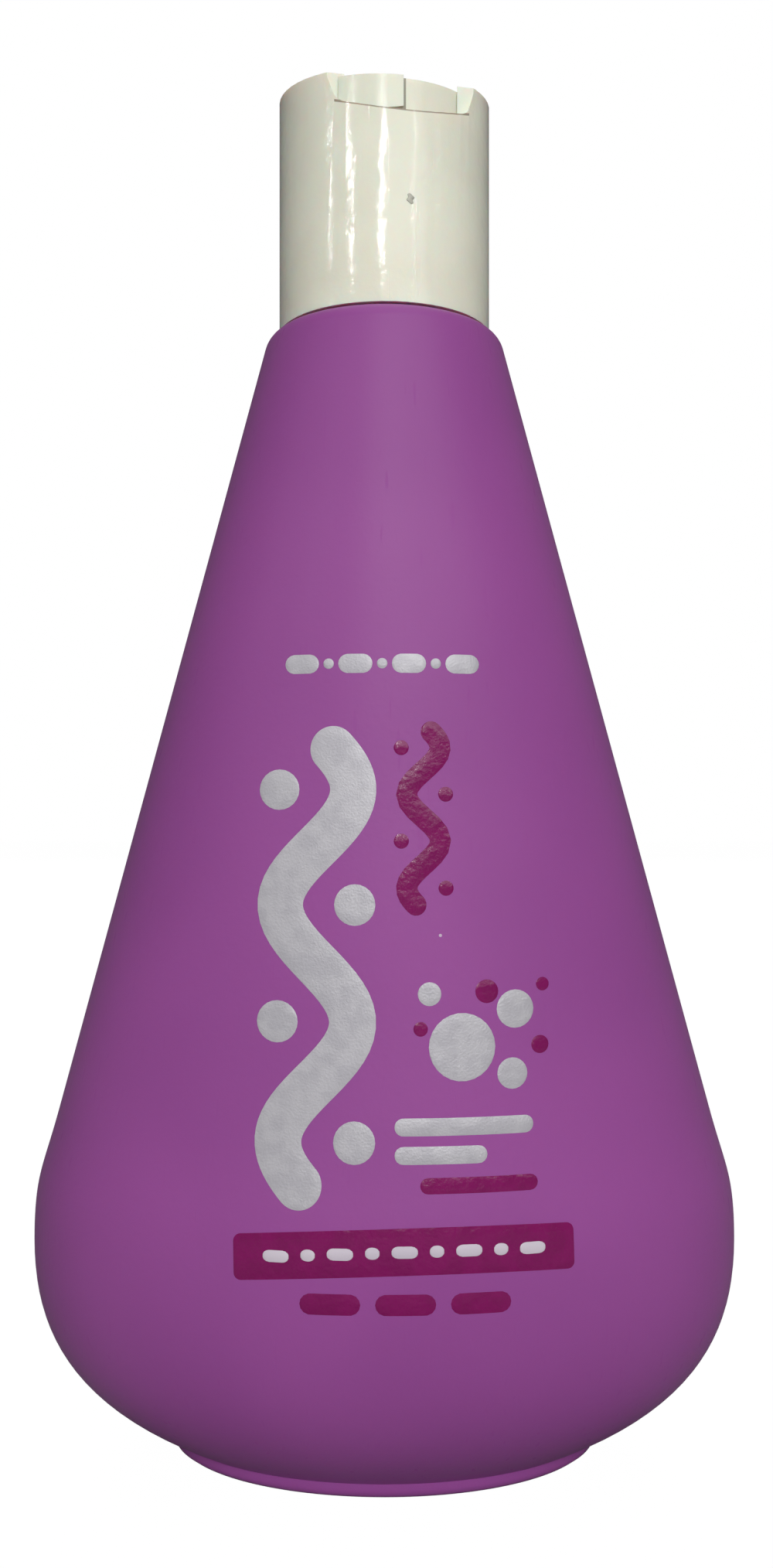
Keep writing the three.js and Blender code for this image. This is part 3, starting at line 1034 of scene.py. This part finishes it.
@dataclass(frozen=True)
class Print:
    """The generic printed design on the bottle's front, in millimetres."""

    bottle: Bottle
    thickness: float = 0.06
    pale_lift: float = 2.0
    rim: float = 0.006
    rim_power: int = 8
    sunk: float = 0.12

    def design(self) -> list[Mark]:
        """Lists every printed shape.

        Returns:
            The marks.
        """
        marks = Header().marks()
        for ribbon in RIBBONS:
            marks += ribbon.marks()
        for ink, bubbles in BUBBLES.items():
            for i, (x, z, size) in enumerate(bubbles):
                marks.append(disc(f"{ink.name.lower()}_bubble_{i}", ink, x, z, size))
        return [*marks, *BARS, *Band().marks()]

    def build(self, finishes: Finishes) -> list[bpy.types.Object]:
        """Wraps each mark onto the bottle and dresses it in its ink.

        Args:
            finishes: the object's finishes.

        Returns:
            The printed pieces, one for each mark.
        """
        pieces = []
        for mark in self.design():
            piece = self._wrap(mark)
            finishes.dress(piece, mark.ink.value)
            pieces.append(piece)
            log.info("%s is printed in %s", piece.name, mark.ink.value)
        return pieces

    def _wrap(self, mark: Mark) -> bpy.types.Object:
        """Presses one flat mark onto the skin, thin at its rim and closed behind.

        Args:
            mark: the shape.

        Returns:
            The printed piece.
        """
        bm = mark.flat()
        proud = self.thickness * (self.pale_lift if mark.ink is Ink.PALE else 1.0)
        for vertex in bm.verts:
            x, edge, z = vertex.co
            rise = proud * (1 - edge ** self.rim_power) + self.rim
            vertex.co.y = self.bottle.front(x, z) - rise
        flat = bmesh.ops.extrude_face_region(bm, geom=bm.faces[:])["geom"]
        back = [item for item in flat if isinstance(item, bmesh.types.BMVert)]
        bmesh.ops.translate(bm, verts=back, vec=(0, self.sunk, 0))
        bmesh.ops.recalc_face_normals(bm, faces=bm.faces)
        return to_piece(bm, f"print_{mark.name}", "bottle")


# Head and mechanism


@dataclass(frozen=True)
class HeadShell:
    """A white moulding of the head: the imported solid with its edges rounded, in millimetres."""

    node: str
    body: str
    slot: str
    round_off: float
    segments: int = 3

    def build(self, finishes: Finishes) -> bpy.types.Object:
        """Copies the solid's skin, joins its facets, rounds its edges and dresses it.

        Args:
            finishes: the object's finishes.

        Returns:
            The piece, which stands for its node.
        """
        bm = bmesh.new()
        bm.from_mesh(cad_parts[self.node].data)
        bmesh.ops.remove_doubles(bm, verts=bm.verts, dist=SAME_POINT_M)
        bmesh.ops.dissolve_limit(bm, angle_limit=FLAT_FOLD, verts=bm.verts, edges=bm.edges)
        soften_edges(bm, self.round_off * MM, self.segments)
        piece = to_piece(bm, f"{self.node}_skin", self.body, 1.0)
        even = piece.modifiers.new("even_shading", "WEIGHTED_NORMAL")
        even.keep_sharp = True
        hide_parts(self.node)
        finishes.dress(piece, self.slot)
        log.info("%s has %d faces", piece.name, len(piece.data.polygons))
        return piece


@dataclass(frozen=True)
class GateMark:
    """The small scar where the collar's mould was fed, in millimetres."""

    collar_radius: float = 13.3
    height: float = 151.9
    angle: float = math.radians(13.4)
    size: Triple = (0.8, 0.2, 1.25)
    sides: int = 20
    rings: int = 12
    bend: float = 0.12
    bend_rate: float = 9.0

    def build(self, finishes: Finishes) -> bpy.types.Object:
        """Shapes the scar as a flattened, slightly bent bead on the wall, and dresses it.

        Args:
            finishes: the object's finishes.

        Returns:
            The bead.
        """
        bm = bmesh.new()
        bmesh.ops.create_uvsphere(bm, u_segments=self.sides, v_segments=self.rings, radius=0.5)
        bmesh.ops.scale(bm, vec=self.size, verts=bm.verts)
        for vertex in bm.verts:
            vertex.co.x += self.bend * math.sin(self.bend_rate * vertex.co.z)
        bmesh.ops.translate(bm, verts=bm.verts, vec=(0, -self.collar_radius, self.height))
        turn = Matrix.Rotation(self.angle, 3, "Z")
        bmesh.ops.rotate(bm, verts=bm.verts, cent=(0, 0, 0), matrix=turn)
        piece = to_piece(bm, "gate_mark", "collar")
        finishes.dress(piece, "gate_scar")
        log.info("%s has %d faces", piece.name, len(piece.data.polygons))
        return piece


class Mechanism:
    """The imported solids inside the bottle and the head, which show as they are."""

    slots = {
        "toothpaste_fill": "paste",
        "neck_gasket": "seal_grey",
        "pump_housing": "pump_natural",
        "stem_guide": "head_white",
        "stem_seal": "seal_grey",
        "ball_cage": "pump_natural",
        "inlet_ball": "steel",
        "dip_tube": "pump_natural",
        "pump_stem": "head_white",
        "stem_tip": "head_white",
        "pump_piston": "pump_natural",
        "return_spring": "steel",
    }

    def dress(self, finishes: Finishes) -> None:
        """Gives each solid its finish.

        Args:
            finishes: the object's finishes.
        """
        for node, finish in self.slots.items():
            finishes.dress_node(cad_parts[node], finish)
            log.info("%s is dressed in %s", node, finish)


HEAD_SHELLS = (
    HeadShell("screw_collar", "collar", "head_white", round_off=0.2),
    HeadShell("press_head", "head", "head_white", round_off=0.25),
    HeadShell("press_pad", "head", "head_white", round_off=0.2),
    HeadShell("mouth_flap", "head", "flap_white", round_off=0.18),
)


# Studio


@dataclass(frozen=True)
class Lamp:
    """One area lamp: its place, its width and height, its watts, and whether gloss mirrors it."""

    name: str
    place: Triple
    size: Pair
    power: float
    mirrored: bool = True


@dataclass(frozen=True)
class Glint:
    """A narrow upright lamp that streaks the glossy head, in degrees and metres."""

    azimuth: float
    low: float
    high: float
    width: float
    radiance: float

    def lamp(self, name: str, reach: float) -> Lamp:
        """Works out the lamp that has this radiance.

        Args:
            name: the lamp's name.
            reach: how far it hangs from the bottle's axis.

        Returns:
            The lamp.
        """
        angle = math.radians(self.azimuth)
        place = (reach * math.sin(angle), -reach * math.cos(angle), (self.low + self.high) / 2)
        power = self.radiance * math.pi * self.width * (self.high - self.low)
        return Lamp(name, place, (self.width, self.high - self.low), power)


LAMPS = (
    Lamp("front", place=(0.15, -1.6, 0.7), size=(1.0, 0.9), power=17.5, mirrored=False),
    Lamp("front_sheen", place=(0.55, -1.4, 1.1), size=(1.5, 1.0), power=6.0),
    Lamp("above", place=(0.1, -0.3, 1.5), size=(1.0, 0.8), power=1.6),
    Lamp("behind", place=(0.0, 1.6, 0.9), size=(1.0, 0.9), power=18.0, mirrored=False),
)

GLINTS = (
    Glint(azimuth=-60, low=0.716, high=0.752, width=0.040, radiance=10.0),
    Glint(azimuth=-60, low=0.660, high=0.702, width=0.045, radiance=34.0),
    Glint(azimuth=-60, low=0.634, high=0.650, width=0.045, radiance=34.0),
    Glint(azimuth=-35, low=0.590, high=0.752, width=0.038, radiance=36.0),
    Glint(azimuth=-2, low=0.717, high=0.780, width=0.040, radiance=34.0),
    Glint(azimuth=-2, low=0.624, high=0.706, width=0.055, radiance=44.0),
    Glint(azimuth=32, low=0.698, high=0.725, width=0.040, radiance=26.0),
    Glint(azimuth=32, low=0.586, high=0.612, width=0.040, radiance=18.0),
    Glint(azimuth=58, low=0.698, high=0.712, width=0.035, radiance=26.0),
)


@dataclass(frozen=True)
class Studio:
    """The camera, the lamps, the floor and the world, in metres and photograph pixels."""

    photo_width: int = 1000
    photo_height: int = 2028
    focal_pixels: float = 1820.6
    horizon_row: float = 1042.5
    centre_column: float = 497.2
    sensor: float = 36.0
    camera_height: float = 0.0802
    distance: float = 0.1791
    nearest: float = 0.01
    aim_height: float = 0.09
    glint_distance: float = 1.2
    floor_reach: float = 3.0
    floor_grey: float = 0.22
    floor_roughness: float = 0.8
    floor_white: float = 1.1
    floor_white_share: float = 0.9
    world_strength: float = 0.14

    def camera(self) -> None:
        """Stands the camera level in front of the bottle."""
        data = bpy.data.cameras.new("camera")
        data.sensor_width = self.sensor
        data.lens = self.sensor * self.focal_pixels / self.photo_height
        data.shift_y = (self.horizon_row - self.photo_height / 2) / self.photo_height
        data.shift_x = (self.photo_width / 2 - self.centre_column) / self.photo_height
        data.clip_start = self.nearest
        camera = bpy.data.objects.new("camera", data)
        camera.location = (0, -self.distance, self.camera_height)
        camera.rotation_euler = (math.pi / 2, 0, 0)
        bpy.context.scene.collection.objects.link(camera)
        bpy.context.scene.camera = camera

    def hang(self, lamp: Lamp) -> None:
        """Hangs one lamp, turned towards the bottle's middle.

        Args:
            lamp: the lamp.
        """
        data = bpy.data.lights.new(lamp.name, "AREA")
        data.shape = "RECTANGLE"
        data.size, data.size_y = lamp.size
        data.energy = lamp.power
        light = bpy.data.objects.new(lamp.name, data)
        light.location = lamp.place
        light.visible_glossy = lamp.mirrored
        aim = Vector((0, 0, self.aim_height)) - Vector(lamp.place)
        light.rotation_euler = aim.to_track_quat("-Z", "Y").to_euler()
        bpy.context.scene.collection.objects.link(light)

    def lamps(self) -> None:
        """Hangs the broad soft lamps and the narrow ones that streak the glossy head."""
        for lamp in LAMPS:
            self.hang(lamp)
        for i, glint in enumerate(GLINTS):
            self.hang(glint.lamp(f"glint_{i}", self.glint_distance))

    def floor(self) -> None:
        """Lays the floor, which the camera sees as white with a soft shadow."""
        bm = bmesh.new()
        bmesh.ops.create_grid(bm, x_segments=8, y_segments=8, size=self.floor_reach)
        mesh = bpy.data.meshes.new("floor")
        bm.to_mesh(mesh)
        bm.free()
        floor = bpy.data.objects.new("floor", mesh)
        bpy.context.scene.collection.objects.link(floor)
        paint = bpy.data.materials.new("pale_floor")
        paint.use_nodes = True
        nodes = Nodes(paint.node_tree)
        shader = paint.node_tree.nodes["Principled BSDF"]
        shader.inputs["Base Color"].default_value = (*(self.floor_grey,) * 3, 1)
        shader.inputs["Roughness"].default_value = self.floor_roughness
        white = nodes.add("ShaderNodeEmission")
        white.inputs["Strength"].default_value = self.floor_white
        share = nodes.math("MULTIPLY", self._seen(nodes), self.floor_white_share)
        self._blend(nodes, share, shader, white, paint.node_tree.nodes["Material Output"])
        mesh.materials.append(paint)

    def world(self) -> None:
        """Makes a soft grey world that the camera sees as white."""
        world = bpy.data.worlds.new("studio")
        world.use_nodes = True
        bpy.context.scene.world = world
        nodes = Nodes(world.node_tree)
        soft = world.node_tree.nodes["Background"]
        soft.inputs["Color"].default_value = (1, 1, 1, 1)
        soft.inputs["Strength"].default_value = self.world_strength
        white = nodes.add("ShaderNodeBackground")
        white.inputs["Color"].default_value = (1, 1, 1, 1)
        self._blend(nodes, self._seen(nodes), soft, white, world.node_tree.nodes["World Output"])

    def _seen(self, nodes: Nodes) -> bpy.types.NodeSocket:
        """Gives 1 where the camera itself looks."""
        return nodes.add("ShaderNodeLightPath").outputs["Is Camera Ray"]

    def _blend(self, nodes: Nodes, share: bpy.types.NodeSocket, plain: bpy.types.Node,
               white: bpy.types.Node, output: bpy.types.Node) -> None:
        """Mixes two shaders into an output.

        Args:
            nodes: the tree's nodes.
            share: 0 for the plain shader and 1 for the white one.
            plain: the shader that lights the object.
            white: the shader that the camera sees.
            output: the tree's output.
        """
        mix = nodes.add("ShaderNodeMixShader")
        nodes.link(share, mix.inputs["Fac"])
        nodes.link(plain.outputs[0], mix.inputs[1])
        nodes.link(white.outputs[0], mix.inputs[2])
        nodes.link(mix.outputs[0], output.inputs["Surface"])

    def build(self) -> None:
        """Sets up everything around the object."""
        self.camera()
        self.lamps()
        self.floor()
        self.world()
        bpy.context.scene.view_settings.view_transform = "Standard"


def main() -> None:
    """Builds, dresses and reports every piece in order."""
    logging.basicConfig(level=logging.INFO, format="%(name)s: %(message)s")
    Studio().build()
    finishes = Finishes()
    bottle = Bottle()
    bottle.build(finishes)
    Print(bottle).build(finishes)
    for shell in HEAD_SHELLS:
        shell.build(finishes)
    GateMark().build(finishes)
    Mechanism().dress(finishes)


if __name__ == "__main__":
    main()
